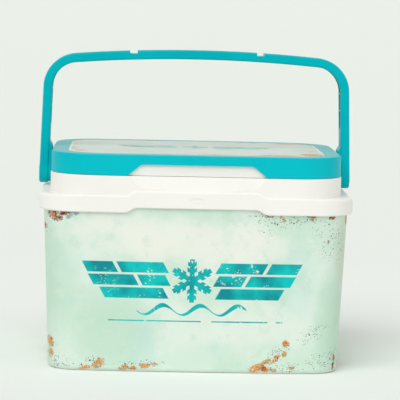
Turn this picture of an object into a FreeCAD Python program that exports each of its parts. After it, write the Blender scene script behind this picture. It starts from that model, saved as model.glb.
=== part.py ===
"""Small hand-carried insulated cool box with a lift-off lid and a swinging bail handle.

Frame: millimetres, +Z up, origin at the centre of the base, long side along X, front face at -Y.
Every plan outline is a bowed rounded rectangle.  The printed wrap, the shell, the foam and the
tub liner nest inside one another; the collar caps the shell and carries the handle's two pivots.
"""
import FreeCAD
import Part
import math
import os

from FreeCAD import Vector

# --- driving sizes: body ---------------------------------------------------------------------
base_length = 282.4          # outside of the print at the base, mid-side to mid-side
base_depth = 204.4
base_corner = 28.0
draft = 0.0376               # outward growth of every wall per mm of height
long_bow = 4.5               # how far the middle of a long side stands out beyond its ends
short_bow = 1.2
base_round = 4.0             # rounding between wall and floor
print_thickness = 0.4
print_start = 1.2            # height of the print's lower edge
print_stop = 4.0             # and how far it ends below the shell's top edge
print_seam = 0.8             # gap where the print's two ends meet, at the back
shell_wall = 2.0
shell_floor = 2.4
foot_ring = 10.0             # width of the ring that the box stands on
foot_recess = 1.4
foam_thickness = 15.0
foam_gap = 0.3               # clearance all round each block of foam
liner_wall = 1.8
liner_corner = 28.0
liner_floor_round = 6.0
liner_rim_round = 0.7

# --- driving sizes: collar -------------------------------------------------------------------
band_bottom = 154.0
band_height = 16.3
side_overhang = 5.5          # band proud of the print at the short sides
front_overhang = 3.0         # and at the long sides
rim_corner = 36.0
collar_wall = 2.1
band_gap = 0.3               # between the band's lower lip and the print
centre_rise = 4.8            # how far the band steps up in the middle of a long side
rise_top = 55.5              # half-length of the raised stretch
rise_run = 14.0              # length of the S-shaped ramp beside it
side_shoulder = 10.9         # ledge width under the handle arms
front_step = 2.2             # ledge width at the long sides
neck_corner = 46.0
neck_height = 18.9
lip_inset = 7.1              # the mouth's lip stands this far inside the neck
lip_height = 10.0
shoulder_round = 5.0
edge_round = 1.3
scoop_half = 66.5            # half-length of the finger scoop at its deepest edge
scoop_taper = 9.5
scoop_height = 14.0
scoop_depth = 2.8
scoop_side = 2.5             # slope of the scoop's two ends, measured along X
backing_margin = 8.0         # thicker wall beyond each end of the scoop
badge_length = 12.0
badge_height = 4.6
badge_depth = 0.4

# --- driving sizes: lid ----------------------------------------------------------------------
lid_gap = 0.35               # between the neck and the lid's lower edge
lid_height = 20.0
lid_inset = 0.5
cover_wall = 2.4
cover_top = 2.6
cover_round = 1.5
frame_width = 13.5           # teal frame in front of and behind the printed lid panel
frame_ends = 16.0            # and at its two ends
panel_recess = 0.7
panel_thickness = 0.6
panel_gap = 0.15
notch_height = 10.8
notch_slope = 40.0           # degrees, of the notch's two ends
notch_round = 8.0
notch_foot_round = 3.0
notch_margin = 10.0         # reach of the notch's cut beyond its own ends
lid_fit = 0.2                # between cover and lid liner
lid_liner_wall = 3.0
lid_scoop_depth = 1.4
plug_gap = 1.2
plug_depth = 18.0            # how far the plug reaches below the liner's rim
plug_wall = 1.8
rim_seat_gap = 0.3

# --- driving sizes: handle -------------------------------------------------------------------
handle_top = 307.0           # top of the bar above the base
handle_width = 24.0
handle_thickness = 8.9
handle_edge = 1.8
arm_gap = 0.7                # between the neck and the arm's bearing plate
bearing_plate = 3.6
plate_top = 216.0
plate_slope = 6.0            # height over which the plate fades into the arm
plate_margin = 1.2           # each edge of the plate inside the arm's edge
plate_round = 0.8
arm_lean = 0.033             # inward lean of the arms per mm of height
arm_foot_gap = 1.7           # between the arm's round end and the ledge
corner_outer = 34.0
bar_droop = 4.5              # drop of the bar's top from its middle to its ends
bar_end = 30.0               # distance of those ends inside the neck's end
channel_width = 15.0
channel_web = 3.5
channel_grip = 74.0          # half-length of the solid grip
channel_start = 232.0
rib_pitch = 17.0
rib_thickness = 1.6
bar_notch_centre = 63.0      # two small notches in the top of the bar
bar_notch_length = 7.4
bar_notch_depth = 4.4        # below the bar's crest
bar_notch_round = 0.8
pin_radius = 3.5
pin_fit = 0.06               # running clearance in the collar
pin_seat = 0.01              # and in the arm
pin_depth = 9.0              # depth of the socket inside the neck
pin_end_gap = 0.4
pin_round = 0.5
boss_radius = 8.0
boss_floor = 1.6
head_radius = 6.0
head_thickness = 1.8
head_proud = 0.4

# --- worked out from the driving sizes -------------------------------------------------------
ledge = band_bottom + band_height
neck_top = ledge + neck_height
lip_top = neck_top + lip_height
lid_bottom = neck_top + lid_gap
lid_top = lid_bottom + lid_height
liner_top = lip_top + liner_wall
centre_ledge = ledge + centre_rise
shell_top = ledge - collar_wall
print_top = shell_top - print_stop
shell_inside = shell_floor + foot_recess
liner_base = shell_inside + foam_thickness
liner_inset = print_thickness + shell_wall + foam_thickness
FAR = 400.0                  # longer than any cut has to be


class Plan:
    """Rounded rectangle whose four sides are shallow arcs, tangent to its corner arcs."""

    def __init__(self, half_length, half_depth, corner, long_radius=None, short_radius=None):
        self.half_length = half_length
        self.half_depth = half_depth
        self.corner = corner
        self.long_radius = long_radius or (half_length ** 2 + long_bow ** 2) / (2 * long_bow)
        self.short_radius = short_radius or (half_depth ** 2 + short_bow ** 2) / (2 * short_bow)

    def inset(self, distance):
        """The parallel outline, distance further in."""
        return Plan(self.half_length - distance, self.half_depth - distance, self.corner - distance,
                    self.long_radius - distance, self.short_radius - distance)

    def quarter(self):
        """Where the first quadrant's corner arc meets its two sides, and that arc's middle."""
        long_centre = Vector(0, self.half_depth - self.long_radius, 0)
        short_centre = Vector(self.half_length - self.short_radius, 0, 0)
        reach_long = self.long_radius - self.corner
        reach_short = self.short_radius - self.corner
        apart = short_centre - long_centre
        span = apart.Length
        along = (reach_long ** 2 - reach_short ** 2 + span ** 2) / (2 * span)
        across = math.sqrt(reach_long ** 2 - along ** 2)
        unit = apart / span
        normal = Vector(-unit.y, unit.x, 0)
        if normal.y < 0:
            normal = -normal
        centre = long_centre + unit * along + normal * across
        to_long = (centre - long_centre) / reach_long
        to_short = (centre - short_centre) / reach_short
        middle = to_long + to_short
        middle.normalize()
        return (long_centre + to_long * self.long_radius,
                centre + middle * self.corner,
                short_centre + to_short * self.short_radius)

    def wire(self, height):
        on_long, on_corner, on_short = self.quarter()

        def at(point, sign_x, sign_y):
            return Vector(sign_x * point.x, sign_y * point.y, height)

        def arc(a, b, c):
            return Part.Arc(a, b, c).toShape()

        edges = []
        right, back = Vector(self.half_length, 0, height), Vector(0, self.half_depth, height)
        left, front = Vector(-self.half_length, 0, height), Vector(0, -self.half_depth, height)
        edges.append(arc(at(on_short, 1, -1), right, at(on_short, 1, 1)))
        edges.append(arc(at(on_short, 1, 1), at(on_corner, 1, 1), at(on_long, 1, 1)))
        edges.append(arc(at(on_long, 1, 1), back, at(on_long, -1, 1)))
        edges.append(arc(at(on_long, -1, 1), at(on_corner, -1, 1), at(on_short, -1, 1)))
        edges.append(arc(at(on_short, -1, 1), left, at(on_short, -1, -1)))
        edges.append(arc(at(on_short, -1, -1), at(on_corner, -1, -1), at(on_long, -1, -1)))
        edges.append(arc(at(on_long, -1, -1), front, at(on_long, 1, -1)))
        edges.append(arc(at(on_long, 1, -1), at(on_corner, 1, -1), at(on_short, 1, -1)))
        return Part.Wire(edges)

    def prism(self, low, high):
        return Part.Face(self.wire(low)).extrude(Vector(0, 0, high - low))


# --- plan outlines that the pieces share -----------------------------------------------------
def body_plan(height, distance=0.0):
    """Outside of the print at a height, or the parallel outline further in."""
    grown = draft * height
    return Plan(base_length / 2 + grown - distance, base_depth / 2 + grown - distance,
                base_corner - distance)


def liner_plan(height, distance=0.0):
    """Outside of the tub liner at a height, or further in."""
    grown = draft * height - liner_inset - distance
    return Plan(base_length / 2 + grown, base_depth / 2 + grown, liner_corner - distance)


band_grown = draft * band_bottom
rim = Plan(base_length / 2 + band_grown + side_overhang,
           base_depth / 2 + band_grown + front_overhang, rim_corner)
neck = Plan(rim.half_length - side_shoulder, rim.half_depth - front_step, neck_corner)
lip = neck.inset(lip_inset)
lid = neck.inset(lid_inset)
panel = Plan(lid.half_length - frame_ends, lid.half_depth - frame_width, lid.corner - frame_width)
plug = liner_plan(liner_top - plug_depth, liner_wall + plug_gap)
pivot_height = ledge + arm_foot_gap + handle_width / 2
arm_outer = neck.half_length + arm_gap + bearing_plate + handle_thickness


# --- small modelling helpers -----------------------------------------------------------------
def tapered(plan_at, low, high, distance=0.0):
    """Solid between a drafted outline at two heights."""
    wires = [plan_at(low, distance).wire(low), plan_at(high, distance).wire(high)]
    return Part.makeLoft(wires, True, True)


def drafted_tub(plan_at, low, high, distance, radius):
    """Drafted solid whose floor edge is rounded."""
    solid = tapered(plan_at, low, high, distance)
    floor_edges = [e for e in solid.Edges if e.BoundBox.ZMax < low + 0.01]
    return solid.makeFillet(radius, floor_edges)


def box(low, high):
    size = Vector(*high) - Vector(*low)
    return Part.makeBox(size.x, size.y, size.z, Vector(*low))


def across_y(points, low, high):
    """Prism of an X-Z polygon, from y = low to y = high."""
    corners = [Vector(x, low, z) for x, z in points]
    face = Part.Face(Part.makePolygon(corners + corners[:1]))
    return face.extrude(Vector(0, high - low, 0))


def mirrored_y(shape):
    return shape.mirror(Vector(0, 0, 0), Vector(0, 1, 0))


def mirrored_x(shape):
    return shape.mirror(Vector(0, 0, 0), Vector(1, 0, 0))


def round_edges(shape, radius, chosen):
    """Rounds the edges for which chosen(edge) is true."""
    return shape.makeFillet(radius, [e for e in shape.Edges if chosen(e)])


def round_each(shape, radii):
    """Rounds edges with their own start and end radii: radii(edge) gives a pair, or None."""
    document = FreeCAD.newDocument("rounding")
    source = document.addObject("Part::Feature", "source")
    source.Shape = shape
    fillet = document.addObject("Part::Fillet", "fillet")
    fillet.Base = source
    chosen = []
    for number, edge in enumerate(source.Shape.Edges, 1):
        pair = radii(edge)
        if pair:
            chosen.append((number, pair[0], pair[1]))
    fillet.Edges = chosen
    document.recompute()
    rounded = fillet.Shape.copy()
    FreeCAD.closeDocument(document.Name)
    return rounded


def raised_profile(low, base, half_low):
    """X-Z face from height low up to a line that rises by centre_rise in the middle.

    The line leaves height base at half_low each side and is joined by S-shaped ramps."""
    half_top = rise_top
    run = half_low - half_top
    top = base + centre_rise
    radius = (run ** 2 + centre_rise ** 2) / (4 * centre_rise)
    turn = math.asin(run / 2 / radius)
    lean_x = radius * math.sin(turn / 2)
    lean_z = radius * (1 - math.cos(turn / 2))
    edges = []

    def point(x, z):
        return Vector(x, 0, z)

    corner = [point(-half_low, low), point(-half_low, base)]
    middle = point(-(half_low - run / 2), base + centre_rise / 2)
    rise = point(-half_top, top)
    edges.append(Part.makeLine(corner[0], corner[1]))
    edges.append(Part.Arc(corner[1], point(-half_low + lean_x, base + lean_z), middle).toShape())
    edges.append(Part.Arc(middle, point(-half_top - lean_x, top - lean_z), rise).toShape())
    edges.append(Part.makeLine(rise, point(half_top, top)))
    edges.append(Part.Arc(point(half_top, top), point(half_top + lean_x, top - lean_z),
                          point(half_low - run / 2, base + centre_rise / 2)).toShape())
    edges.append(Part.Arc(point(half_low - run / 2, base + centre_rise / 2),
                          point(half_low - lean_x, base + lean_z),
                          point(half_low, base)).toShape())
    edges.append(Part.makeLine(point(half_low, base), point(half_low, low)))
    edges.append(Part.makeLine(point(half_low, low), corner[0]))
    return Part.Face(Part.Wire(edges))


def raised_slab(low, base, half_low):
    """The raised profile swept right through the box from front to back."""
    face = raised_profile(low, base, half_low)
    face.translate(Vector(0, -FAR / 2, 0))
    return face.extrude(Vector(0, FAR, 0))


def scoop(face_depth, low, high, half_low, half_high, depth):
    """Wedge that dishes a long wall: flush at height low, depth deep at height high."""
    outside = -face_depth - 1.0
    side = scoop_side

    def quad(points):
        corners = [Vector(*p) for p in points]
        return Part.makePolygon(corners + corners[:1])

    outer = quad([(-half_low, outside, low), (half_low, outside, low),
                  (half_high, outside, high), (-half_high, outside, high)])
    inner = quad([(-half_low + side, -face_depth, low), (half_low - side, -face_depth, low),
                  (half_high - side, -face_depth + depth, high),
                  (-half_high + side, -face_depth + depth, high)])
    wedge = Part.makeLoft([outer, inner], True, True)
    return wedge.fuse(mirrored_y(wedge))


def pivot_rod(radius, start, end):
    """Cylinder along X on the right-hand pivot, from x = start to x = end."""
    return Part.makeCylinder(radius, end - start, Vector(start, 0, pivot_height), Vector(1, 0, 0))


def both_sides(shape):
    return shape.fuse(mirrored_x(shape))


# --- body pieces -----------------------------------------------------------------------------
def make_outer_shell():
    """White moulded tub, open at the top, standing on a narrow ring."""
    outer = drafted_tub(body_plan, 0, shell_top, print_thickness, base_round - print_thickness)
    inner = drafted_tub(body_plan, shell_inside, shell_top + 1,
                        print_thickness + shell_wall, base_round - print_thickness)
    recess = body_plan(0, print_thickness + base_round + foot_ring).prism(-1, foot_recess)
    return outer.cut(inner).cut(recess)


def make_label_wrap():
    """Thin printed skin round the shell, carried down over its rounded floor edge."""
    outer = drafted_tub(body_plan, 0, print_top, 0.0, base_round)
    inner = drafted_tub(body_plan, 0, print_top + 1, print_thickness, base_round - print_thickness)
    skin = outer.cut(inner)
    below = box((-FAR, -FAR, -1), (FAR, FAR, print_start))
    seam = box((-print_seam / 2, 0, -1), (print_seam / 2, FAR, print_top + 1))
    return skin.cut(below).cut(seam)


def make_tub_liner():
    """Inner tub with a flat rim that rests on the collar's lip."""
    outer = drafted_tub(liner_plan, liner_base, lip_top + 0.5, 0.0, liner_floor_round + liner_wall)
    rim_plate = lip.prism(lip_top, liner_top)
    inner = drafted_tub(liner_plan, liner_base + liner_wall, liner_top + 1, liner_wall,
                        liner_floor_round)
    tub = outer.common(box((-FAR, -FAR, 0), (FAR, FAR, lip_top))).fuse(rim_plate)
    tub = tub.cut(inner).removeSplitter()
    return round_edges(tub, liner_rim_round, lambda e: e.BoundBox.ZMin > liner_top - 0.01)


def make_band():
    """Solid band round the box, raised in the middle of its two long sides.

    Its shoulders are generous at the ends and its edges crisp at the front and back."""
    raised = rim.prism(ledge - 2, centre_ledge).common(
        raised_slab(ledge - 5, ledge, rise_top + rise_run))
    under = raised_slab(band_bottom - 5, band_bottom, rise_top + rise_run)
    band = rim.prism(band_bottom, ledge).fuse(raised).cut(under).removeSplitter()
    on_long, _, on_short = rim.quarter()

    def radii(edge):
        bounds = edge.BoundBox
        first = edge.valueAt(edge.FirstParameter)
        last = edge.valueAt(edge.LastParameter)
        upper = bounds.ZMin > ledge - 0.1
        if not upper and bounds.ZMax > centre_rise + band_bottom + 0.1:
            return None
        if not on_outline(edge, rim) and abs(bounds.Center.x) < on_long.x - 1:
            return None
        large = shoulder_round if upper else shoulder_round / 2
        if min(abs(first.x), abs(last.x)) > on_short.x - 0.1:
            return (large, large)
        if max(abs(first.x), abs(last.x)) < on_long.x + 0.1:
            return (edge_round, edge_round)
        starts_long = abs(abs(first.x) - on_long.x) < 0.1
        return (edge_round, large) if starts_long else (large, edge_round)

    return round_each(band, radii)


def on_outline(edge, plan):
    """True if the edge's middle lies on a plan's outline at a long side."""
    middle = edge.valueAt((edge.FirstParameter + edge.LastParameter) / 2)
    sagitta = plan.long_radius - math.sqrt(plan.long_radius ** 2 - middle.x ** 2)
    return abs(abs(middle.y) - (plan.half_depth - sagitta)) < 0.05


def collar_outside():
    """Everything of the collar that shows, as one solid block."""
    body = neck.prism(ledge - collar_wall, neck_top)
    body = round_edges(body, edge_round, lambda e: e.BoundBox.ZMin > neck_top - 0.01)
    mouth = lip.prism(neck_top - 1, lip_top)
    mouth = round_edges(mouth, edge_round, lambda e: e.BoundBox.ZMin > lip_top - 0.01)
    return make_band().fuse([body, mouth]).cut(neck_scoop())


def neck_scoop():
    """Finger room in the neck, under the lid's notches."""
    return scoop(neck.half_depth, neck_top - scoop_height, neck_top + 0.01,
                 scoop_half - scoop_taper, scoop_half, scoop_depth)


def scoop_backing(clearance=0.0):
    """Thicker stretch of neck wall behind each scoop."""
    half = scoop_half + backing_margin + clearance
    thickness = scoop_depth + collar_wall + clearance
    block = box((-half, -neck.half_depth + 1, ledge - collar_wall),
                (half, -neck.half_depth + thickness, neck_top))
    return block.fuse(mirrored_y(block))


def badge():
    """Shallow pill-shaped recess in the middle of the front band."""
    middle = (band_bottom + ledge) / 2 + centre_rise
    radius = badge_height / 2
    reach = badge_length / 2 - radius
    front = -rim.half_depth
    depth = badge_depth + 1

    def end(x):
        return Part.makeCylinder(radius, depth, Vector(x, front - 1, middle), Vector(0, 1, 0))

    bar = box((-reach, front - 1, middle - radius), (reach, front + badge_depth, middle + radius))
    return bar.fuse([end(-reach), end(reach)]).removeSplitter()


def make_collar():
    """White rim: band, ledge, neck and mouth lip, hollow underneath, with two pivot bosses."""
    under_band = rim.inset(collar_wall).prism(band_bottom + collar_wall, ledge - collar_wall)
    under_band = under_band.cut(raised_slab(band_bottom - 5, band_bottom + collar_wall,
                                            rise_top + rise_run))
    entry = tapered(body_plan, band_bottom - 2, ledge - collar_wall, -band_gap)
    under_neck = neck.inset(collar_wall).prism(ledge - collar_wall - 1, neck_top - collar_wall)
    under_lip = lip.inset(collar_wall).prism(neck_top - collar_wall - 1, lip_top - collar_wall)
    mouth = tapered(liner_plan, ledge, lip_top + 1, -band_gap)
    boss_end = neck.half_length - pin_depth - boss_floor
    bosses = both_sides(pivot_rod(boss_radius, boss_end, neck.half_length - 1))
    bosses = bosses.common(neck.prism(band_bottom, neck_top - 1))
    sockets = both_sides(pivot_rod(pin_radius + pin_fit, boss_end + boss_floor,
                                   neck.half_length + 1))
    under_neck = under_neck.cut(scoop_backing())
    collar = collar_outside().cut(under_band).cut(entry).cut(under_neck).cut(under_lip)
    collar = collar.fuse(bosses).cut(mouth).cut(sockets).cut(badge())
    return collar.removeSplitter()


def make_tub_insulation():
    """Foam between shell and liner, carried up inside the neck round the pivot bosses."""
    low_top = shell_top - foam_gap
    top = neck_top - collar_wall - foam_gap
    block = drafted_tub(body_plan, shell_inside, top,
                        print_thickness + shell_wall + foam_gap, base_round - print_thickness)
    below = box((-FAR, -FAR, 0), (FAR, FAR, low_top))
    inside_neck = neck.inset(collar_wall + foam_gap).prism(low_top - 1, top)
    block = block.common(below.fuse(inside_neck.cut(scoop_backing(foam_gap))))
    bosses = both_sides(pivot_rod(boss_radius + foam_gap, neck.half_length - 20,
                                  neck.half_length))
    room = drafted_tub(liner_plan, liner_base, top + 5, -foam_gap, liner_floor_round + liner_wall)
    return block.cut(bosses).cut(room).removeSplitter()


# --- lid pieces ------------------------------------------------------------------------------
def lid_notch():
    """Finger notches through the skirt, front and back: sloping ends, rounded upper corners."""
    top = lid_bottom + notch_height
    half_top = scoop_half - notch_height / math.tan(math.radians(notch_slope))
    outer = scoop_half + notch_margin
    points = [(-outer, lid_bottom - 5), (-outer, lid_bottom), (-scoop_half, lid_bottom),
              (-half_top, top), (half_top, top), (scoop_half, lid_bottom), (outer, lid_bottom),
              (outer, lid_bottom - 5)]
    prism = across_y(points, -lid.half_depth - 5, -lid.half_depth + cover_wall + 2)
    prism = round_edges(prism, notch_round, lambda e: e.BoundBox.ZMin > top - 0.01
                        and e.BoundBox.XLength < 0.01)
    prism = round_edges(prism, notch_foot_round, lambda e: abs(e.BoundBox.ZMin - lid_bottom) < 0.01
                        and e.BoundBox.XLength < 0.01
                        and abs(abs(e.CenterOfMass.x) - scoop_half) < 0.01)
    return prism.fuse(mirrored_y(prism))


def make_lid_cover():
    """Teal cap: skirt with two finger notches and a recess for the printed panel."""
    cap = lid.prism(lid_bottom, lid_top)
    cap = round_edges(cap, cover_round, lambda e: e.BoundBox.ZMin > lid_top - 0.01)
    hollow = lid.inset(cover_wall).prism(lid_bottom - 1, lid_top - cover_top)
    recess = panel.prism(lid_top - panel_recess, lid_top + 1)
    return cap.cut(hollow).cut(recess).cut(lid_notch())


def make_lid_label():
    """Printed panel laid in the lid's recess."""
    return panel.inset(panel_gap).prism(lid_top - panel_recess,
                                        lid_top - panel_recess + panel_thickness)


def make_lid_liner():
    """White underside of the lid: inner skirt, flange over the tub's rim, and a hollow plug."""
    inset = cover_wall + lid_fit
    skirt_top = lid_top - cover_top
    flange_low = liner_top + rim_seat_gap
    plug_low = liner_top - plug_depth
    plug_inset = liner_wall + plug_gap
    solid = lid.inset(inset).prism(lid_bottom, skirt_top)
    inner = lid.inset(inset + lid_liner_wall)
    solid = solid.cut(inner.prism(lid_bottom - 1, flange_low))
    solid = solid.cut(inner.prism(flange_low + plug_wall, skirt_top + 1))
    plug = drafted_tub(liner_plan, plug_low, flange_low + 0.5, plug_inset, liner_floor_round)
    cup = drafted_tub(liner_plan, plug_low + plug_wall, flange_low + plug_wall + 1,
                      plug_inset + plug_wall, liner_floor_round - plug_wall)
    dish = scoop(lid.half_depth - inset, lid_bottom + notch_height - 1, lid_bottom - 0.01,
                 scoop_half - scoop_taper, scoop_half, lid_scoop_depth)
    return solid.fuse(plug).cut(cup).cut(dish).removeSplitter()


def make_lid_insulation():
    """Foam that fills the lid and its plug."""
    inset = cover_wall + lid_fit + lid_liner_wall + foam_gap
    floor = liner_top + rim_seat_gap + plug_wall
    plug_low = liner_top - plug_depth
    plate = lid.inset(inset).prism(floor + foam_gap, lid_top - cover_top - foam_gap)
    core = drafted_tub(liner_plan, plug_low + plug_wall, floor + 1,
                       liner_wall + plug_gap + plug_wall + foam_gap, liner_floor_round - plug_wall)
    return plate.fuse(core).removeSplitter()


# --- handle pieces ---------------------------------------------------------------------------
def arm_face(height, distance):
    """X of the right arm's outer face at a height, or of the parallel face further in."""
    return (arm_outer - distance * math.hypot(1, arm_lean)
            - arm_lean * (height - pivot_height))


def bail_outline(distance):
    """X-Z face inside the bail's outer line, or inside the parallel line further in."""
    reach = neck.half_length - bar_end
    crown = (reach ** 2 + bar_droop ** 2) / (2 * bar_droop)
    centre = Vector(0, 0, handle_top - crown)
    corner = corner_outer - distance
    span = crown - corner_outer
    low = pivot_height - handle_width
    slope = Vector(-arm_lean, 0, 1)
    start = Vector(arm_face(low, corner_outer), 0, low) - centre
    half_b = start.dot(slope) / slope.dot(slope)
    rest = (start.dot(start) - span ** 2) / slope.dot(slope)
    along = -half_b + math.sqrt(half_b ** 2 - rest)
    pole = centre + start + slope * along
    outward = Vector(1, 0, arm_lean)
    outward.normalize()
    upward = pole - centre
    upward.normalize()
    diagonal = outward + upward
    diagonal.normalize()
    foot = Vector(arm_face(low, distance), 0, low)
    on_arm = pole + outward * corner
    on_bar = pole + upward * corner
    on_corner = pole + diagonal * corner
    crest = Vector(0, 0, handle_top - distance)

    def left(point):
        return Vector(-point.x, 0, point.z)

    edges = [Part.makeLine(foot, on_arm), Part.Arc(on_arm, on_corner, on_bar).toShape(),
             Part.Arc(on_bar, crest, left(on_bar)).toShape(),
             Part.Arc(left(on_bar), left(on_corner), left(on_arm)).toShape(),
             Part.makeLine(left(on_arm), left(foot)), Part.makeLine(left(foot), foot)]
    return Part.Face(Part.Wire(edges))


def bail_slab(distance, width):
    face = bail_outline(distance)
    face.translate(Vector(0, -width / 2, 0))
    return face.extrude(Vector(0, width, 0))


def arm_envelope(width):
    """Everything within the arms' width, rounded about the pivot line at the lower end."""
    half = width / 2
    above = box((-FAR, -half, pivot_height), (FAR, half, FAR))
    end = Part.makeCylinder(half, 2 * FAR, Vector(-FAR, 0, pivot_height), Vector(1, 0, 0))
    return above.fuse(end).removeSplitter()


def make_bail():
    """The bent bar itself, with rounded edges."""
    strip = bail_slab(0, handle_width).cut(bail_slab(handle_thickness, handle_width + 2))
    strip = strip.common(arm_envelope(handle_width))

    def long_edge(edge):
        return edge.BoundBox.YLength < 0.01 or edge.BoundBox.ZMax < pivot_height + 0.01

    return round_edges(strip, handle_edge, long_edge)


def bearing_plates():
    """Thicker inner face of each arm, running beside the neck."""
    inner = neck.half_length + arm_gap
    outer = inner + bearing_plate + 2
    low = pivot_height - handle_width
    points = [(inner, low), (inner, plate_top - plate_slope), (inner + bearing_plate, plate_top),
              (outer, plate_top), (outer, low)]
    plate = across_y(points, -handle_width / 2, handle_width / 2)
    plate = plate.common(arm_envelope(handle_width - 2 * plate_margin))
    plate = round_edges(plate, plate_round, lambda e: e.BoundBox.XMax < inner + 0.01
                        and e.BoundBox.ZMax < plate_top - plate_slope + 0.01)
    return both_sides(plate)


def grip_channels():
    """Hollows along the inner side of the bail, either side of the solid grip."""
    hollow = bail_slab(channel_web, channel_width).cut(
        bail_slab(handle_thickness + 2, channel_width + 2))
    hollow = hollow.common(box((channel_grip, -FAR, channel_start), (FAR, FAR, FAR)))
    height = channel_start + rib_pitch
    while height < handle_top - corner_outer:
        hollow = hollow.cut(box((0, -FAR, height), (FAR, FAR, height + rib_thickness)))
        height += rib_pitch
    length = channel_grip + rib_pitch
    while length < arm_outer - corner_outer:
        hollow = hollow.cut(box((length, -FAR, 0), (length + rib_thickness, FAR, FAR)))
        length += rib_pitch
    return hollow


def bar_notches():
    """Two narrow notches across the top of the bar."""
    low = handle_top - bar_notch_depth
    half = bar_notch_length / 2
    cut = box((bar_notch_centre - half, -FAR, low), (bar_notch_centre + half, FAR, FAR))
    cut = round_edges(cut, bar_notch_round, lambda e: e.BoundBox.ZMax < low + 0.01
                      and e.BoundBox.XLength < 0.01)
    return both_sides(cut)


def head_seat():
    return arm_face(pivot_height, 0) + head_proud - head_thickness


def make_handle():
    """Teal bail: arms, bearing plates, grip, and a stepped hole for each pivot pin."""
    holes = pivot_rod(pin_radius + pin_seat, neck.half_length - 5, arm_outer + 5)
    seats = pivot_rod(head_radius + pin_seat, head_seat(), arm_outer + 5)
    channels = grip_channels()
    bail = make_bail().fuse(bearing_plates()).cut(both_sides(channels)).cut(bar_notches())
    return bail.cut(both_sides(holes.fuse(seats))).removeSplitter()


def make_pivot_pin(side):
    """Headed pin through an arm (side +1 right, -1 left) into the collar's boss."""
    tip = neck.half_length - pin_depth + pin_end_gap
    pin = pivot_rod(pin_radius, tip, head_seat() + 0.5)
    head = pivot_rod(head_radius, head_seat(), head_seat() + head_thickness)
    pin = round_edges(pin.fuse(head), pin_round, lambda e: e.BoundBox.XLength < 0.01
                      and (e.BoundBox.XMin < tip + 0.01
                           or e.BoundBox.XMax > head_seat() + head_thickness - 0.01))
    return pin if side > 0 else mirrored_x(pin)


def main():
    os.makedirs("parts", exist_ok=True)
    pieces = {
        "outer_shell": make_outer_shell(),
        "label_wrap": make_label_wrap(),
        "tub_insulation": make_tub_insulation(),
        "collar": make_collar(),
        "tub_liner": make_tub_liner(),
        "lid_cover": make_lid_cover(),
        "lid_label": make_lid_label(),
        "lid_liner": make_lid_liner(),
        "lid_insulation": make_lid_insulation(),
        "handle": make_handle(),
        "pivot_pin_right": make_pivot_pin(1),
        "pivot_pin_left": make_pivot_pin(-1),
    }
    for name, shape in pieces.items():
        if not shape.isValid() or len(shape.Solids) != 1:
            raise ValueError(f"{name} is not one sound solid")
        shape.Solids[0].exportStep(f"parts/{name}.step")


main()
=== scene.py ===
import math

import bmesh
import bpy
from mathutils import Matrix, Vector


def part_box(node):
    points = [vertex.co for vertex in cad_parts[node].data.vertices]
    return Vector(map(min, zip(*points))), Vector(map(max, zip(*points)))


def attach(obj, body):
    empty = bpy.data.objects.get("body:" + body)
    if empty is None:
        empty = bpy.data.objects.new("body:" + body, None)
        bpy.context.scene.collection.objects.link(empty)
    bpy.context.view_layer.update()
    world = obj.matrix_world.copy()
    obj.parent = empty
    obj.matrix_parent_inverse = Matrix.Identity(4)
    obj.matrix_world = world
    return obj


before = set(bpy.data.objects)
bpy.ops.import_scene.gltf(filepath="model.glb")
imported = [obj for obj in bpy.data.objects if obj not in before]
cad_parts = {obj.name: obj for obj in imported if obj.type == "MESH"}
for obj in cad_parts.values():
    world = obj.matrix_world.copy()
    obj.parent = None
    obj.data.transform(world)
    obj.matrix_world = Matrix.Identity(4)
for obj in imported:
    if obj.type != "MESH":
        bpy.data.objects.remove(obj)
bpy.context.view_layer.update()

bl_info = {
    "name": "Small Cool Box",
    "version": (1, 0, 0),
    "blender": (4, 5, 0),
    "location": "View3D > Sidebar > Cool Box",
    "description": "Finishes and dresses a small cool box with a worn print and a bail handle",
    "category": "Object",
}

MM = 0.001

# places of the small pieces and of the print, as the mouldings fix them
BADGE_CENTRE_HEIGHT = 0.16695     # middle of the collar's raised stretch, in metres
BADGE_SETBACK = 0.0003            # plaque's middle behind the collar's front face
GATE_CEILING = 0.0014             # height of the base's recessed face
EMBLEM_LEFT, EMBLEM_HEIGHT = 3.0, 89.5     # emblem's middle on the wrap, in mm
LID_EMBLEM_SCALE = 0.75
LID_EMBLEM_RISE = 12.0            # emblem's middle above the panel's, before scaling
LENS_SHIFT = (0.01474, -0.02264)


# --- colours and small helpers ----------------------------------------------------------------
def shade(red, green, blue):
    """A screen colour, 0 to 255, as the linear colour that shaders work in."""
    def linear(part):
        part /= 255.0
        return part / 12.92 if part <= 0.04045 else ((part + 0.055) / 1.055) ** 2.4
    return (linear(red), linear(green), linear(blue), 1.0)


def colour_setting(name, description, default):
    return bpy.props.FloatVectorProperty(
        name=name, description=description, subtype="COLOR", size=4, min=0.0, max=1.0,
        default=default)


def length_setting(name, description, default):
    return bpy.props.FloatProperty(
        name=name, description=description, default=default, min=0.0, subtype="DISTANCE",
        unit="LENGTH", precision=4)


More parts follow.
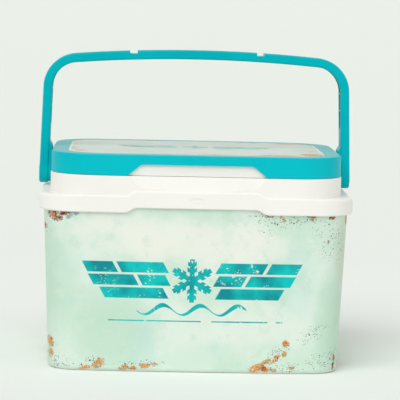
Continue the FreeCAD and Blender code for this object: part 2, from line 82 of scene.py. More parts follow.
# --- shader recipes -----------------------------------------------------------------------------
class Value:
    """One shader socket that takes part in ordinary sums."""

    def __init__(self, recipe, socket):
        self.recipe = recipe
        self.socket = socket

    def other(self, name):
        """Another output of the same node."""
        return Value(self.recipe, self.socket.node.outputs[name])

    def __add__(self, term):
        return self.recipe.sum("ADD", self, term)

    def __radd__(self, term):
        return self.recipe.sum("ADD", term, self)

    def __sub__(self, term):
        return self.recipe.sum("SUBTRACT", self, term)

    def __rsub__(self, term):
        return self.recipe.sum("SUBTRACT", term, self)

    def __mul__(self, term):
        return self.recipe.sum("MULTIPLY", self, term)

    def __rmul__(self, term):
        return self.recipe.sum("MULTIPLY", term, self)

    def __truediv__(self, term):
        return self.recipe.sum("DIVIDE", self, term)

    def __neg__(self):
        return self.recipe.sum("MULTIPLY", self, -1.0)

    def __abs__(self):
        return self.recipe.sum("ABSOLUTE", self)


class Recipe:
    """Builds one procedural material on a Principled shader."""

    def __init__(self, name, roughness=0.4, **fixed):
        self.material = bpy.data.materials.new(name)
        self.material.use_nodes = True
        self.tree = self.material.node_tree
        self.tree.nodes.clear()
        self.shader = self.tree.nodes.new("ShaderNodeBsdfPrincipled")
        self.shader.inputs["Roughness"].default_value = roughness
        for key, value in fixed.items():
            self.shader.inputs[key.replace("_", " ")].default_value = value
        finish = self.tree.nodes.new("ShaderNodeOutputMaterial")
        self.tree.links.new(self.shader.outputs[0], finish.inputs["Surface"])
        self.point = self.node("ShaderNodeTexCoord", {}, {}).other("Object")

    def node(self, kind, settings, sockets):
        """Adds a node: its settings first, then the value or link of each named socket."""
        made = self.tree.nodes.new(kind)
        for key, value in settings.items():
            if key == "stops":
                self.set_stops(made.color_ramp, value)
            else:
                setattr(made, key, value)
        for key, value in sockets.items():
            self.feed(made.inputs[key], value)
        return Value(self, next(out for out in made.outputs if out.enabled))

    def feed(self, socket, value):
        if isinstance(value, Value):
            self.tree.links.new(value.socket, socket)
        else:
            socket.default_value = value

    @staticmethod
    def set_stops(ramp, stops):
        while len(ramp.elements) < len(stops):
            ramp.elements.new(1.0)
        for element, (place, colour) in zip(ramp.elements, stops):
            element.position = place
            element.color = colour

    def give(self, **channels):
        """Feeds the shader's channels, such as Base_Color or Roughness."""
        for key, value in channels.items():
            self.feed(self.shader.inputs[key.replace("_", " ")], value)

    def sum(self, operation, *terms):
        return self.node("ShaderNodeMath", {"operation": operation}, dict(enumerate(terms)))

    def axes(self):
        """The point's three coordinates in millimetres."""
        first = self.node("ShaderNodeSeparateXYZ", {}, {"Vector": self.point})
        return [first.other(axis) * (1.0 / MM) for axis in "XYZ"]

    def noise(self, size, detail=3.0, rough=0.55, seed=0.0, where=None):
        """Cloudy noise from 0 to 1 whose features are about size millimetres."""
        shifted = self.node("ShaderNodeVectorMath", {"operation": "ADD"},
                            {0: where or self.point, 1: (seed, seed * 0.7, seed * 1.3)})
        return self.node("ShaderNodeTexNoise", {},
                         {"Vector": shifted, "Scale": 1.0 / (size * MM), "Detail": detail,
                          "Roughness": rough})

    def cells(self, size, seed=0.0, randomness=1.0):
        """Scattered cells: the distance from each cell's middle, in cell sizes."""
        shifted = self.node("ShaderNodeVectorMath", {"operation": "ADD"},
                            {0: self.point, 1: (seed, -seed, seed * 0.5)})
        return self.node("ShaderNodeTexVoronoi", {},
                         {"Vector": shifted, "Scale": 1.0 / (size * MM),
                          "Randomness": randomness})

    def rise(self, value, start, end):
        """0 below start, 1 above end and a smooth step between; start may be the larger."""
        return self.node("ShaderNodeMapRange", {"interpolation_type": "SMOOTHSTEP"},
                         {"Value": value, "From Min": start, "From Max": end})

    def most(self, first, second):
        return self.sum("MAXIMUM", first, second)

    def least(self, first, second):
        return self.sum("MINIMUM", first, second)

    def mix(self, under, over, amount, how="MIX"):
        """Colour over laid on colour under."""
        return self.node("ShaderNodeMix", {"data_type": "RGBA", "blend_type": how},
                         {0: amount, 6: under, 7: over})

    def ramp(self, value, *stops):
        return self.node("ShaderNodeValToRGB", {"stops": stops}, {"Fac": value})

    def bump(self, height, strength, depth):
        """Relief: depth is in millimetres."""
        relief = self.node("ShaderNodeBump", {}, {"Height": height, "Strength": strength,
                                                  "Distance": depth * MM})
        self.give(Normal=relief)


# --- the print --------------------------------------------------------------------------------
def ellipse(recipe, u, v, middle_u, middle_v, half_u, half_v, lean=0.0):
    """1 in the middle of an ellipse, falling to 0 at its edge and below 0 outside."""
    du, dv = u - middle_u, v - middle_v
    if lean:
        turn = math.radians(lean)
        du, dv = (du * math.cos(turn) + dv * math.sin(turn),
                  dv * math.cos(turn) - du * math.sin(turn))
    du, dv = du * (1.0 / half_u), dv * (1.0 / half_v)
    return 1.0 - (du * du + dv * dv)


def snowflake(recipe, u, v, radius):
    """Mask of a six-armed flake with two pairs of twigs on each arm."""
    reach = recipe.sum("SQRT", u * u + v * v)
    angle = recipe.sum("ARCTAN2", u, v)
    sector = math.radians(60.0)
    off_arm = abs(recipe.sum("WRAP", angle, sector / 2, -sector / 2))
    along = reach * recipe.sum("COSINE", off_arm)
    across = reach * recipe.sum("SINE", off_arm)
    arm = recipe.least(recipe.rise(across, 2.5, 2.1),
                       recipe.rise(reach, radius + 0.2, radius - 0.2))
    for start, length in ((0.40, 0.22), (0.68, 0.20)):
        off_twig = abs(along - across * 0.6 - radius * start)
        twig = recipe.least(recipe.rise(off_twig, 2.2, 1.8),
                            recipe.rise(across, radius * length + 0.2, radius * length - 0.2))
        arm = recipe.most(arm, twig)
    return recipe.most(arm, recipe.rise(reach, radius * 0.27, radius * 0.25))


def wing_bar(recipe, u, v, middle, half, start, end):
    """Mask of one bar of the wings, mirrored left and right, with slanting ends."""
    out = abs(u)
    off = v - middle
    slant = out - off * 0.55
    body = recipe.rise(abs(off), half + 0.2, half - 0.2)
    return recipe.least(body, recipe.least(recipe.rise(slant, start - 0.2, start + 0.2),
                                           recipe.rise(slant, end + 0.2, end - 0.2)))


def ornament(recipe, u, v):
    """Mask of the printed ornament, a winged snowflake over a wave; its flake is at 0, 0."""
    mask = snowflake(recipe, u, v, 21.0)
    row, half_bar = 12.4, 5.2     # pitch of the wings' three rows, half-height of a bar
    bars = ((row, 25.0, 70.0), (row, 73.5, 103.0), (0.0, 23.0, 50.0), (0.0, 53.5, 97.0),
            (-row, 25.0, 86.0))
    for middle, start, end in bars:
        mask = recipe.most(mask, wing_bar(recipe, u, v, middle, half_bar, start, end))
    pitch = math.tau / 36.0       # one wave in 36 mm
    wave = recipe.sum("SINE", u * pitch) * 4.6 - 28.5
    pen = recipe.sum("COSINE", u * pitch - 0.6) * 0.9 + 1.5
    stroke = recipe.rise(abs(v - wave) - pen, 0.3, -0.3)
    mask = recipe.most(mask, recipe.least(stroke, recipe.rise(abs(u), 53.0, 52.0)))
    line = recipe.least(recipe.rise(abs(v + 39.3), 0.75, 0.45),
                        recipe.rise(abs(u - 4.0), 84.0, 83.0))
    breaks = recipe.rise(recipe.noise(16.0, 1.0, seed=3.1), 0.67, 0.64)
    return recipe.most(mask, line * breaks)


# In each list of worn places: middle along the face, height, half-length and half-height in mm,
# lean in degrees, strength.
CHIPS = (
    # upper left: one large flake with a tail, and the thin strip down the corner
    (-135, 149.5, 8.5, 5.5, -22, 1.0), (-127, 152.0, 9, 2.6, 10, 0.9),
    (-129.5, 147.5, 4, 3, 40, 0.7),
    (-147, 143.5, 1.6, 8, 8, 0.8), (-144.5, 138.5, 2.6, 3.5, 0, 0.9),
    # lower left: the corner patch, then flakes along the lower edge
    (-138, 26, 4, 7, 10, 0.95), (-137.5, 15, 3.2, 6, 0, 0.62), (-104, 3.2, 7, 2.4, 8, 0.85),
    (-94, 5, 5, 3.2, 20, 0.9), (-90, 8, 6.5, 5.2, 30, 1.0), (-67, 4, 6, 4, 15, 0.95),
    (-58, 4, 5, 2.6, 0, 0.85), (-47, 6, 7.5, 3, 10, 0.8), (-38, 7.5, 4, 2.4, 0, 0.6),
    # upper right: faint streaks and small flakes under the collar, and the corner strip
    (66, 153.5, 8, 1.6, -8, 0.34), (82, 151, 5, 2, -40, 0.40), (111, 153.2, 7, 1.8, 0, 0.62),
    (110, 150.5, 2.6, 1.8, 0, 0.7), (129.5, 152.6, 3.8, 2.2, 0, 0.9), (145, 150, 1.8, 7, 0, 0.85),
    # lower right: a trail of flakes climbing from the lower edge
    (88.5, 29.5, 4.2, 4.2, 20, 0.95), (87.5, 19.5, 3.2, 3, 30, 0.9), (79, 15, 8, 3.2, 40, 0.62),
    (71, 12, 6, 2.8, 18, 0.9), (62, 5.5, 10.5, 4.6, 18, 1.0), (69, 4.5, 6, 3.6, 0, 0.95),
    (77, 3.5, 4, 2.4, 0, 0.85), (94, 6, 5, 2, 8, 0.75), (136.5, 15, 1.8, 4, 0, 0.8),
    (136, 7, 1.8, 4.5, 0, 0.9),
)
# flakes on the lid's panel, whose height is its distance behind the middle
PANEL_CHIPS = (
    (112, -66, 14, 22, 0, 0.8), (78, -82, 24, 8, 4, 0.7), (100, 78, 22, 7, 0, 0.6),
    (20, -86, 30, 4, 0, 0.5), (-112, -60, 8, 10, 0, 0.45),
)
# bare metal beside the large flake
STEEL = ((-116, 152.5, 4.5, 2.6, 0, 1.0), (-121, 149.5, 5, 2.5, 30, 0.8))
# places strewn with dark specks
SPECKS = (
    (60, 153, 14, 4, 0, 1.0), (72, 149, 22, 7, -14, 1.0), (96, 150, 34, 5, 0, 0.9),
    (70, 139, 14, 6, 0, 0.3), (131, 128, 16, 26, 0, 0.45), (122, 140, 18, 8, 0, 0.30),
    (78, 17, 20, 8, 42, 1.0), (90, 6, 22, 6, 0, 0.9), (114, 40, 20, 9, 30, 0.6),
    (124, 12, 18, 10, 0, 0.8), (136, 14, 7, 14, 0, 1.0), (-128, 8, 12, 8, -20, 1.0),
    (-112, 5, 16, 4, 0, 0.9), (-100, 9, 12, 5, 25, 0.9), (-138, 18, 5, 12, 0, 0.9),
    (-62, 6, 16, 5, 0, 0.9), (-40, 9, 16, 4, 0, 0.8), (-142, 140, 6, 12, 0, 0.5),
)
# Washes of paint, two of them painted shade at the ends: middle, height, half-length, half-height,
# colour in the palette, strength.
WASHES = (
    (-78, 40, 44, 40, "deep_mint", 0.7), (-134, 88, 24, 60, "deep_mint", 0.5),
    (-50, 22, 14, 44, "blue_mint", 0.35), (136, 44, 22, 60, "deep_mint", 0.75),
    (92, 96, 26, 40, "blue_mint", 0.30), (40, 14, 70, 18, "deep_mint", 0.25),
    (10, 126, 92, 24, "cream", 0.9), (-76, 132, 56, 24, "cream", 0.8),
    (60, 40, 50, 34, "cream", 0.3),
    (0, 52, 36, 30, "cream", 0.2), (-96, 118, 34, 22, "pale_mint", 0.6),
    # the two washes at the ends are painted shade: a duller, darker green where the faces turn away
    # round the corners
    (146, 120, 14, 44, "end_shade_mint", 0.7), (-150, 110, 8, 60, "end_shade_mint", 0.6),
)


def scattered(recipe, u, v, spots):
    """The strongest of a list of ellipses, each with its own weight at the end."""
    field = None
    for middle_u, middle_v, half_u, half_v, lean, weight in spots:
        spot = ellipse(recipe, u, v, middle_u, middle_v, half_u, half_v, lean) * weight
        field = spot if field is None else recipe.most(field, spot)
    return recipe.most(field, 0.0)


def worn_paint(recipe, palette, paint, chips, steel, specks, redness):
    """Lays ragged rust flakes, bare steel and dark specks over the paint.

    chips, steel and specks say how worn each place is, from 0 to 1, and steel may be None;
    redness shifts the rust's tone, below 0 towards dark red."""
    coarse = recipe.noise(5.0, 10.0, 0.82, seed=1.7)
    fine = recipe.noise(1.8, 8.0, 0.9, seed=5.2)
    ragged = (coarse - 0.5) * 5.5 + (fine - 0.5) * 7.0
    level = chips + ragged * recipe.rise(chips, 0.0, 0.25)
    bare = recipe.rise(level, 0.36, 0.44)
    edge = recipe.rise(level, 0.15, 0.36)
    tone = recipe.noise(6.5, 8.0, 0.78, seed=9.4) + redness
    rust = recipe.ramp(tone, (0.40, palette["rust_dark"]), (0.455, palette["rust"]),
                       (0.50, palette["rust_orange"]), (0.54, palette["rust_yellow"]),
                       (0.585, palette["rust_pale"]))
    rust = recipe.mix(rust, palette["soot"], recipe.rise(fine, 0.54, 0.62) * 0.75)
    if steel:
        metal = recipe.rise(steel + ragged * recipe.rise(steel, 0.0, 0.25), 0.30, 0.38)
        rust = recipe.mix(rust, palette["steel"], metal * 0.85)
        bare = recipe.most(bare, metal)
    worn = recipe.mix(paint, palette["undercoat"], edge * 0.55)
    worn = recipe.mix(worn, rust, bare)
    for size, seed, share, tint in ((1.3, 0.31, 0.56, "soot"), (2.6, 0.77, 0.80, "rust_dark")):
        dots = specked(recipe, specks, size, seed, share)
        worn = recipe.mix(worn, palette[tint], dots * 0.9)
    return worn


def specked(recipe, where, size, seed, share):
    """Small irregular dots, one to a cell of size mm, in a share of the cells."""
    dots = recipe.cells(size, seed=seed)
    chance = recipe.node("ShaderNodeSeparateColor", {}, {0: dots.other("Color")})
    wobble = (recipe.noise(size * 0.4, 4.0, 0.8, seed=seed) - 0.5) * 1.1
    radius = recipe.rise(chance + where * (1.0 - share), share, 1.15) * 0.36
    return recipe.rise(dots + wobble - radius, 0.04, -0.04) * recipe.rise(where, 0.04, 0.2)


def painted_ground(recipe, palette, u, v):
    """Mint paint with soft, uneven washes of other greens and of cream, and painted shade near the
    ends.
    """
    cloud = recipe.noise(48.0, 5.0, 0.6, seed=0.4)
    stipple = recipe.noise(9.0, 5.0, 0.65, seed=6.1)
    drift = (cloud - 0.5) * 1.5 + (stipple - 0.5) * 0.5
    paint = recipe.mix(palette["mint"], palette["pale_mint"], recipe.rise(cloud, 0.40, 0.60))
    for middle, height, half_length, half_height, tone, strength in WASHES:
        patch = ellipse(recipe, u, v, middle, height, half_length, half_height)
        paint = recipe.mix(paint, palette[tone], recipe.rise(patch + drift, -0.25, 0.95) * strength)
    mottle = recipe.noise(19.0, 6.0, 0.66, seed=8.8)
    paint = recipe.mix(paint, palette["deep_mint"], recipe.rise(mottle, 0.53, 0.66) * 0.40)
    cool = recipe.noise(27.0, 5.0, 0.7, seed=3.6)
    paint = recipe.mix(paint, palette["blue_mint"], recipe.rise(cool, 0.54, 0.68) * 0.22)
    return recipe.mix(paint, palette["cream"], recipe.rise(stipple, 0.56, 0.70) * 0.28)


def ink(recipe, palette, mask):
    """Teal ink with lighter and darker passages; returns its colour and its worn mask."""
    shading = recipe.noise(26.0, 3.0, 0.5, seed=4.4)
    colour = recipe.ramp(shading, (0.36, palette["ink_dark"]), (0.60, palette["ink_light"]))
    flecks = (recipe.noise(2.4, 4.0, 0.7, seed=7.3) * 0.6
              + recipe.noise(11.0, 2.0, 0.5, seed=2.2) * 0.4)
    return colour, mask * recipe.rise(flecks, 0.62, 0.60)


def palette_of(settings):
    names = ("mint", "pale_mint", "deep_mint", "cream", "undercoat", "rust", "rust_orange",
             "rust_yellow", "rust_pale", "rust_dark", "soot", "steel", "blue_mint", "end_shade_mint",
             "panel_grey", "ink_dark", "ink_light")
    return {name: tuple(getattr(settings, name)) for name in names}


def wrap_finish(settings):
    """Satin printed film: worn mint paint with rust chips and the ornament front and back."""
    palette = palette_of(settings)
    recipe = Recipe("printed wrap", roughness=0.36, Specular_IOR_Level=0.2)
    x, y, z = recipe.axes()
    front = recipe.rise(y, 0.2, -0.2)
    u = x * (front * 2.0 - 1.0)
    on_face = recipe.rise(abs(y), 62.0, 86.0)
    paint = painted_ground(recipe, palette, u, z)
    edges = recipe.most(recipe.rise(z, 16.0, 2.0), recipe.rise(z, 142.0, 156.0))
    gate = recipe.rise(recipe.noise(38.0, 2.0, 0.5, seed=1.1), 0.50, 0.66)
    ends = edges * gate * (1.0 - on_face)
    chips = recipe.most(scattered(recipe, u, z, CHIPS) * on_face, ends)
    steel = scattered(recipe, u, z, STEEL) * on_face
    specks = recipe.most(scattered(recipe, u, z, SPECKS) * on_face, ends * 0.8)
    high_up = recipe.rise(z, 40.0, 130.0)
    low_corner = recipe.rise(u, 116.0, 126.0) * recipe.rise(z, 60.0, 40.0)
    redness = high_up * -0.11 + 0.03 + low_corner * -0.10
    worn = worn_paint(recipe, palette, paint, chips, steel, specks, redness)
    mask = ornament(recipe, u + EMBLEM_LEFT, z - EMBLEM_HEIGHT)
    mask = mask * recipe.rise(abs(y), 80.0, 84.0)
    colour, kept = ink(recipe, palette, mask)
    printed = recipe.mix(worn, colour, kept)
    sheen = recipe.noise(30.0, 3.0, 0.5, seed=5.9)
    recipe.give(Base_Color=printed, Roughness=sheen * 0.16 + 0.28)
    recipe.bump(recipe.noise(0.7, 2.0, 0.5, seed=3.3), 0.12, 0.03)
    return recipe.material


def panel_finish(settings):
    """The lid's printed panel: pale paint, rust along its edges, ornament and white margin."""
    palette = palette_of(settings)
    recipe = Recipe("printed panel", roughness=0.34, Specular_IOR_Level=0.2)
    x, y, z = recipe.axes()
    _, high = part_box("lid_label")
    half_x, half_y = high[0] / MM, high[1] / MM
    inward = recipe.least(half_x - abs(x), half_y - abs(y))
    paint = painted_ground(recipe, palette, x * 1.2, y + 78.0)
    paint = recipe.mix(paint, palette["panel_grey"], 0.6)
    gate = recipe.rise(recipe.noise(40.0, 2.0, 0.5, seed=2.9), 0.50, 0.62)
    right = recipe.rise(x, 20.0, 90.0)
    rim_wear = recipe.rise(inward, 16.0, 3.0) * gate * (right * 0.6 + 0.25)
    chips = recipe.most(rim_wear, scattered(recipe, x, y, PANEL_CHIPS))
    worn = worn_paint(recipe, palette, paint, chips, None, chips * 0.9, 0.0)
    emblem = ornament(recipe, x / LID_EMBLEM_SCALE, y / LID_EMBLEM_SCALE - LID_EMBLEM_RISE)
    colour, kept = ink(recipe, palette, emblem)
    printed = recipe.mix(worn, recipe.mix(colour, palette["panel_grey"], 0.15), kept * 0.9)
    margin = recipe.rise(inward, 2.6, 2.1)
    recipe.give(Base_Color=recipe.mix(printed, palette["pale_mint"], margin),
                Roughness=recipe.noise(25.0, 3.0, seed=5.9) * 0.16 + 0.26)
    recipe.bump(recipe.noise(0.7, 2.0, 0.5, seed=3.3), 0.12, 0.03)
    return recipe.material


# --- plain plastics ---------------------------------------------------------------------------
def moulded_plastic(name, colour, shadow, roughness, gloss, coat, grain, sheen_above=None,
                    sheen_tone=None):
    """Moulded plastic: faint cloudiness, handling marks and a fine grain.

    Faces higher than sheen_above millimetres are partly turned to the colour dulled, a painted
    sheen: the paler, greyer look that light reflected at a glancing angle gives a top face."""
    recipe = Recipe(name, roughness=roughness, Specular_IOR_Level=gloss, Coat_Roughness=0.12)
    cloud = recipe.noise(45.0, 3.0, 0.5, seed=0.9)
    flow = recipe.noise(14.0, 4.0, 0.6, seed=4.1)
    tint = recipe.rise(cloud, 0.35, 0.75) * 0.5 + recipe.rise(flow, 0.5, 0.8) * 0.25
    scuff = recipe.rise(recipe.noise(2.2, 5.0, 0.7, seed=7.7), 0.60, 0.72)
    finish = recipe.mix(colour, shadow, tint)
    # painted sheen on the top faces: a paler, greyer colour that stands for glancing reflected
    # light
    if sheen_above:
        height = recipe.axes()[2]
        finish = recipe.mix(finish, sheen_tone,
                            recipe.rise(height, sheen_above, sheen_above + 0.2) * 0.45)
    recipe.give(Base_Color=finish,
                Roughness=roughness - 0.05 + flow * 0.10 + scuff * 0.06,
                Coat_Weight=coat + scuff * (-0.4 * coat))
    recipe.bump(recipe.noise(grain, 2.0, 0.5, seed=6.6) + flow * 0.4, 0.18, 0.04)
    return recipe.material


def foam_finish(settings):
    """Bead foam: rounded cells pressed together."""
    recipe = Recipe("bead foam", roughness=0.75)
    bead = recipe.cells(3.4)
    joint = recipe.rise(bead, 0.45, 0.75)
    recipe.give(Base_Color=recipe.mix(tuple(settings.foam), tuple(settings.foam_joint), joint),
                Roughness=0.7 + joint * 0.2)
    recipe.bump(1.0 - bead, 0.5, 0.5)
    return recipe.material


def dress(material, *nodes):
    """Gives CAD nodes or new pieces a material."""
    for name in nodes:
        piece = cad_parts[name] if isinstance(name, str) else name
        piece.data.materials.clear()
        piece.data.materials.append(material)


# --- modelling helpers ------------------------------------------------------------------------
def deselect_all():
    if bpy.context.object and bpy.context.object.mode != "OBJECT":
        bpy.ops.object.mode_set(mode="OBJECT")
    bpy.ops.object.select_all(action="DESELECT")


def edit_faces(piece, wanted):
    """Enters edit mode with only the faces selected for which wanted(face) is true."""
    bpy.ops.object.mode_set(mode="EDIT")
    bpy.ops.mesh.select_mode(type="FACE")
    bpy.ops.mesh.select_all(action="DESELECT")
    mesh = bmesh.from_edit_mesh(piece.data)
    for face in mesh.faces:
        face.select = wanted(face)
    mesh.select_flush_mode()
    bmesh.update_edit_mesh(piece.data)


def edit_edges(piece, wanted):
    """Enters edit mode with only the edges selected for whose two ends wanted is true."""
    bpy.ops.object.mode_set(mode="EDIT")
    bpy.ops.mesh.select_mode(type="EDGE")
    bpy.ops.mesh.select_all(action="DESELECT")
    mesh = bmesh.from_edit_mesh(piece.data)
    for edge in mesh.edges:
        edge.select = wanted(*(vert.co for vert in edge.verts))
    bmesh.update_edit_mesh(piece.data)


def finish_piece(piece, name, body):
    """Names a new piece, puts its place into its mesh and ties it to its body."""
    if bpy.context.object.mode != "OBJECT":
        bpy.ops.object.mode_set(mode="OBJECT")
    bpy.ops.object.transform_apply(location=True, rotation=True, scale=True)
    bpy.ops.object.shade_smooth_by_angle(angle=math.radians(35.0))
    piece.name = name
    piece.data.name = name
    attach(piece, body)


# --- settings ---------------------------------------------------------------------------------
class CoolBoxColours(bpy.types.PropertyGroup):
    """Colours of the plastics and of the print."""

    white: colour_setting("White plastic", "Collar, liner and lid underside",
                          shade(246, 244, 239))
    white_shadow: colour_setting("White shading", "Cloudiness in the white plastic",
                                 shade(241, 239, 233))
    lid: colour_setting("Lid teal", "Lid cover", shade(0, 192, 203))
    lid_shadow: colour_setting("Lid shading", "Cloudiness in the lid's teal", shade(0, 184, 195))
    # painted reflection: the paler, greyer teal that glancing light gives the lid's top face
    lid_top_sheen: colour_setting("Lid dulled", "Greyer teal of the worn top face",
                               shade(150, 196, 192))
    handle: colour_setting("Handle teal", "Handle and pivot pins", shade(0, 182, 192))
    handle_shadow: colour_setting("Handle shading", "Cloudiness in the handle's teal",
                                  shade(0, 168, 178))
    foam: colour_setting("Foam", "Foam beads", shade(242, 242, 238))
    foam_joint: colour_setting("Foam joints", "Between the foam beads", shade(214, 214, 208))
    mint: colour_setting("Mint", "Main paint of the print", shade(207, 230, 213))
    pale_mint: colour_setting("Pale mint", "Light passages of the paint", shade(221, 236, 224))
    deep_mint: colour_setting("Deep mint", "Green washes", shade(190, 222, 201))
    cream: colour_setting("Cream", "Warm light washes", shade(238, 240, 230))
    undercoat: colour_setting("Undercoat", "Edge of a chip", shade(206, 196, 172))
    rust: colour_setting("Rust", "Middle tone of the rust", shade(184, 98, 58))
    rust_orange: colour_setting("Orange rust", "Bright rust", shade(226, 132, 62))
    rust_yellow: colour_setting("Yellow rust", "Lightest rust", shade(236, 178, 86))
    rust_pale: colour_setting("Pale rust", "Olive bloom on the rust", shade(168, 158, 112))
    rust_dark: colour_setting("Dark rust", "Specks and rust edges", shade(106, 60, 46))
    steel: colour_setting("Steel", "Bare metal in the flakes", shade(158, 186, 190))
    blue_mint: colour_setting("Blue mint", "Bluish washes", shade(186, 224, 216))
    panel_grey: colour_setting("Panel grey", "Greyer ground of the lid's panel",
                               shade(212, 214, 207))
    # painted shade: the duller green laid at the ends of the wrap, where it turns away from the
    # light
    end_shade_mint: colour_setting("Olive mint", "Dull washes near the ends", shade(200, 216, 190))
    soot: colour_setting("Soot", "Grain in the rust", shade(72, 62, 58))
    ink_dark: colour_setting("Dark ink", "Dark passages of the ornament", shade(0, 140, 150))
    ink_light: colour_setting("Light ink", "Light passages of the ornament", shade(0, 196, 192))


class CoolBoxDetails(bpy.types.PropertyGroup):
    """Sizes of the small pieces added to the frame."""

    badge_length: length_setting("Badge length", "Plaque in the front of the collar", 0.0112)
    badge_height: length_setting("Badge height", "Plaque in the front of the collar", 0.0038)
    badge_thickness: length_setting("Badge thickness", "Plaque's thickness", 0.0004)
    gate_radius: length_setting("Gate radius", "Round moulding gate under the base", 0.007)
    gate_height: length_setting("Gate height", "How far the gate stands out", 0.0007)


class CoolBoxStage(bpy.types.PropertyGroup):
    """Camera, floor and lights."""

    distance: length_setting("Camera distance", "From the middle of the box", 2.0852)
    aim_height: length_setting("Aim height", "Height that the camera looks at", 0.1662)
    dip: bpy.props.FloatProperty(name="Camera dip", description="How far the camera looks down",
                                 default=math.radians(5.30), subtype="ANGLE", unit="ROTATION")
    turn: bpy.props.FloatProperty(name="Camera turn", description="Camera's place to the left",
                                  default=math.radians(1.62), subtype="ANGLE", unit="ROTATION")
    roll: bpy.props.FloatProperty(name="Camera roll", description="Tilt about the line of sight",
                                  default=math.radians(1.30), subtype="ANGLE", unit="ROTATION")
    lens: bpy.props.FloatProperty(name="Lens", description="Focal length in mm", default=187.12,
                                  min=10.0)
    paper: colour_setting("Paper", "Floor", shade(240, 244, 239))
    far_paper: colour_setting("Far paper", "Backdrop, a little darker", shade(226, 230, 224))
    sky: colour_setting("Ambient light", "Light from all round", (1.0, 1.0, 1.0, 1.0))
    sky_power: bpy.props.FloatProperty(name="Ambient power", description="Strength of that light",
                                       default=0.42, min=0.0)
    key_from: bpy.props.FloatVectorProperty(name="Key light from", description="Its direction",
                                            default=(-0.30, -0.62, 0.78), subtype="DIRECTION")
    key_power: bpy.props.FloatProperty(name="Key power", description="Strength of the key light",
                                       default=1.75, min=0.0)
    fill_from: bpy.props.FloatVectorProperty(name="Fill light from", description="Its direction",
                                             default=(0.75, -0.5, 0.43), subtype="DIRECTION")
    fill_power: bpy.props.FloatProperty(name="Fill power", description="Strength of the fill",
                                        default=0.4, min=0.0)
    softness: bpy.props.FloatProperty(name="Softness", description="Width of both lights",
                                      default=math.radians(50.0), subtype="ANGLE", unit="ROTATION")


# --- operators --------------------------------------------------------------------------------
class COOLBOX_OT_wrap(bpy.types.Operator):
    """Print the worn paint and ornament on the wrap and on the lid's panel"""
    bl_idname = "coolbox.wrap"
    bl_label = "Print"

    def execute(self, context):
        colours = context.scene.cool_box_colours
        dress(wrap_finish(colours), "label_wrap")
        dress(panel_finish(colours), "lid_label")
        return {"FINISHED"}


class COOLBOX_OT_white(bpy.types.Operator):
    """Finish the white mouldings: shell, collar, tub liner and the lid's underside"""
    bl_idname = "coolbox.white"
    bl_label = "White plastic"

    def execute(self, context):
        colours = context.scene.cool_box_colours
        white = moulded_plastic("white plastic", tuple(colours.white),
                                tuple(colours.white_shadow),
                                roughness=0.40, gloss=0.3, coat=0.05, grain=0.6)
        dress(white, "outer_shell", "collar", "tub_liner", "lid_liner")
        return {"FINISHED"}


class COOLBOX_OT_teal(bpy.types.Operator):
    """Finish the teal mouldings: lid cover, handle and pivot pins"""
    bl_idname = "coolbox.teal"
    bl_label = "Teal plastic"

    def execute(self, context):
        colours = context.scene.cool_box_colours
        lid_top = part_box("lid_cover")[1][2] / MM
        # the lid's top face gets a painted sheen, paler and greyer, standing for light reflected
        # off it at a glancing angle
        lid = moulded_plastic("lid teal", tuple(colours.lid), tuple(colours.lid_shadow),
                              roughness=0.38, gloss=0.08, coat=0.0, grain=0.5,
                              sheen_above=lid_top - 0.3, sheen_tone=tuple(colours.lid_top_sheen))
        handle = moulded_plastic("handle teal", tuple(colours.handle),
                                 tuple(colours.handle_shadow),
                                 roughness=0.30, gloss=0.05, coat=0.0, grain=0.8)
        dress(lid, "lid_cover")
        dress(handle, "handle", "pivot_pin_left", "pivot_pin_right")
        return {"FINISHED"}


class COOLBOX_OT_foam(bpy.types.Operator):
    """Finish the two blocks of foam"""
    bl_idname = "coolbox.foam"
    bl_label = "Foam"

    def execute(self, context):
        dress(foam_finish(context.scene.cool_box_colours), "tub_insulation", "lid_insulation")
        return {"FINISHED"}


class COOLBOX_OT_badge(bpy.types.Operator):
    """Model the small blank plaque in the collar's front recess"""
    bl_idname = "coolbox.badge"
    bl_label = "Badge"

    def execute(self, context):
        sizes = context.scene.cool_box_details
        low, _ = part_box("collar")
        deselect_all()
        bpy.ops.mesh.primitive_cube_add(
            size=1.0, location=(0.0, low[1] + BADGE_SETBACK, BADGE_CENTRE_HEIGHT))
        piece = context.object
        piece.scale = (sizes.badge_length, sizes.badge_thickness, sizes.badge_height)
        bpy.ops.object.transform_apply(location=False, rotation=False, scale=True)
        edit_edges(piece, lambda first, second: abs(first.y - second.y) > 1e-6)
        bpy.ops.mesh.bevel(offset=sizes.badge_height * 0.49, segments=8)
        edit_faces(piece, lambda face: face.normal.y < -0.9)
        bpy.ops.mesh.inset(thickness=0.0005)
        bpy.ops.transform.translate(value=(0.0, 0.00015, 0.0))
        finish_piece(piece, "badge", "tub")
        dress(bpy.data.materials["white plastic"], piece)
        return {"FINISHED"}


class COOLBOX_OT_gate(bpy.types.Operator):
    """Model the round moulding gate in the middle of the base"""
    bl_idname = "coolbox.gate"
    bl_label = "Moulding gate"

    def execute(self, context):
        sizes = context.scene.cool_box_details
        deselect_all()
        bpy.ops.mesh.primitive_cylinder_add(
            vertices=48, radius=sizes.gate_radius, depth=sizes.gate_height,
            location=(0.0, 0.0, GATE_CEILING - sizes.gate_height / 2))
        piece = context.object
        edit_faces(piece, lambda face: face.normal.z < -0.9)
        bpy.ops.mesh.inset(thickness=0.0012)
        bpy.ops.mesh.inset(thickness=0.0006)
        bpy.ops.transform.translate(value=(0.0, 0.0, 0.00045))
        bpy.ops.mesh.inset(thickness=0.0030)
        bpy.ops.transform.translate(value=(0.0, 0.0, -0.0003))
        finish_piece(piece, "gate_mark", "tub")
        dress(bpy.data.materials["white plastic"], piece)
        return {"FINISHED"}


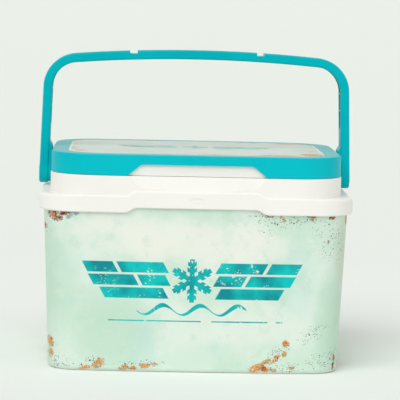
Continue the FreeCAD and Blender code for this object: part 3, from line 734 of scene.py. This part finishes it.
class COOLBOX_OT_stage(bpy.types.Operator):
    """Set up the floor, the soft lights and the camera"""
    bl_idname = "coolbox.stage"
    bl_label = "Stage"
    far_edge = 2.9     # everything farther back than this is the sheet's rear edge

    def execute(self, context):
        stage = context.scene.cool_box_stage
        self.lay_paper(context, stage)
        self.hang_lights(context, stage)
        self.place_camera(context, stage)
        world = bpy.data.worlds.new("soft room")
        world.use_nodes = True
        room = world.node_tree.nodes["Background"]
        room.inputs["Color"].default_value = tuple(stage.sky)
        room.inputs["Strength"].default_value = stage.sky_power
        context.scene.world = world
        context.scene.view_settings.view_transform = "Standard"
        return {"FINISHED"}

    def lay_paper(self, context, stage):
        """One sheet that is the floor and curves up behind the box."""
        deselect_all()
        bpy.ops.mesh.primitive_plane_add(size=1.0, location=(0.0, -0.5, 0.0))
        sheet = context.object
        sheet.scale = (9.0, 7.0, 1.0)
        bpy.ops.object.transform_apply(location=True, rotation=True, scale=True)
        edit_edges(sheet, lambda *ends: all(end.y > self.far_edge for end in ends))
        bpy.ops.mesh.extrude_region_move(TRANSFORM_OT_translate={"value": (0.0, 0.0, 5.0)})
        edit_edges(sheet, lambda *ends: all(end.y > self.far_edge and end.z < 0.01
                                            for end in ends))
        bpy.ops.mesh.bevel(offset=2.2, segments=32)
        bpy.ops.object.mode_set(mode="OBJECT")
        bpy.ops.object.shade_smooth()
        sheet.name = "paper_sheet"
        recipe = Recipe("paper", roughness=0.9, Specular_IOR_Level=0.1)
        back = recipe.rise(recipe.axes()[1], 100.0, 1900.0)
        recipe.give(Base_Color=recipe.mix(tuple(stage.paper), tuple(stage.far_paper), back))
        dress(recipe.material, sheet)

    @staticmethod
    def hang_lights(context, stage):
        """A broad key light from the left front and a weaker one from the right."""
        for name, place, power in (("key_light", stage.key_from, stage.key_power),
                                   ("fill_light", stage.fill_from, stage.fill_power)):
            bpy.ops.object.light_add(type="SUN", location=place)
            lamp = context.object
            lamp.name = name
            lamp.data.angle = stage.softness
            lamp.data.energy = power
            lamp.rotation_euler = Vector(place).to_track_quat("Z", "Y").to_euler()

    @staticmethod
    def place_camera(context, stage):
        """Long lens, a little above and to the left of the front."""
        level = math.cos(stage.dip) * stage.distance
        place = Vector((-math.sin(stage.turn) * level, -math.cos(stage.turn) * level,
                        stage.aim_height + math.sin(stage.dip) * stage.distance))
        bpy.ops.object.camera_add(location=place)
        camera = context.object
        aim = Vector((0.0, 0.0, stage.aim_height))
        look = (aim - place).to_track_quat("-Z", "Y")
        camera.rotation_euler = (look.to_matrix() @ Matrix.Rotation(stage.roll, 3, "Z")).to_euler()
        camera.name = "front_camera"
        camera.data.lens = stage.lens
        camera.data.shift_x, camera.data.shift_y = LENS_SHIFT
        context.scene.camera = camera


# --- panel ------------------------------------------------------------------------------------
OPERATORS = (COOLBOX_OT_wrap, COOLBOX_OT_white, COOLBOX_OT_teal, COOLBOX_OT_foam,
             COOLBOX_OT_badge, COOLBOX_OT_gate, COOLBOX_OT_stage)


class COOLBOX_PT_panel(bpy.types.Panel):
    """Lists the box's pieces and settings"""
    bl_idname = "COOLBOX_PT_panel"
    bl_label = "Cool Box"
    bl_space_type = "VIEW_3D"
    bl_region_type = "UI"
    bl_category = "Cool Box"

    def draw(self, context):
        for operator in OPERATORS:
            self.layout.operator(operator.bl_idname)
        for group in (context.scene.cool_box_colours, context.scene.cool_box_details,
                      context.scene.cool_box_stage):
            column = self.layout.column(align=True)
            for name in group.__annotations__:
                column.prop(group, name)


CLASSES = (CoolBoxColours, CoolBoxDetails, CoolBoxStage) + OPERATORS + (COOLBOX_PT_panel,)


def register():
    for each in CLASSES:
        bpy.utils.register_class(each)
    scene = bpy.types.Scene
    scene.cool_box_colours = bpy.props.PointerProperty(type=CoolBoxColours)
    scene.cool_box_details = bpy.props.PointerProperty(type=CoolBoxDetails)
    scene.cool_box_stage = bpy.props.PointerProperty(type=CoolBoxStage)


def unregister():
    scene = bpy.types.Scene
    del scene.cool_box_colours, scene.cool_box_details, scene.cool_box_stage
    for each in reversed(CLASSES):
        bpy.utils.unregister_class(each)


def main():
    register()
    bpy.ops.coolbox.wrap()
    bpy.ops.coolbox.white()
    bpy.ops.coolbox.teal()
    bpy.ops.coolbox.foam()
    bpy.ops.coolbox.badge()
    bpy.ops.coolbox.gate()
    bpy.ops.coolbox.stage()


if __name__ == "__main__":
    main()
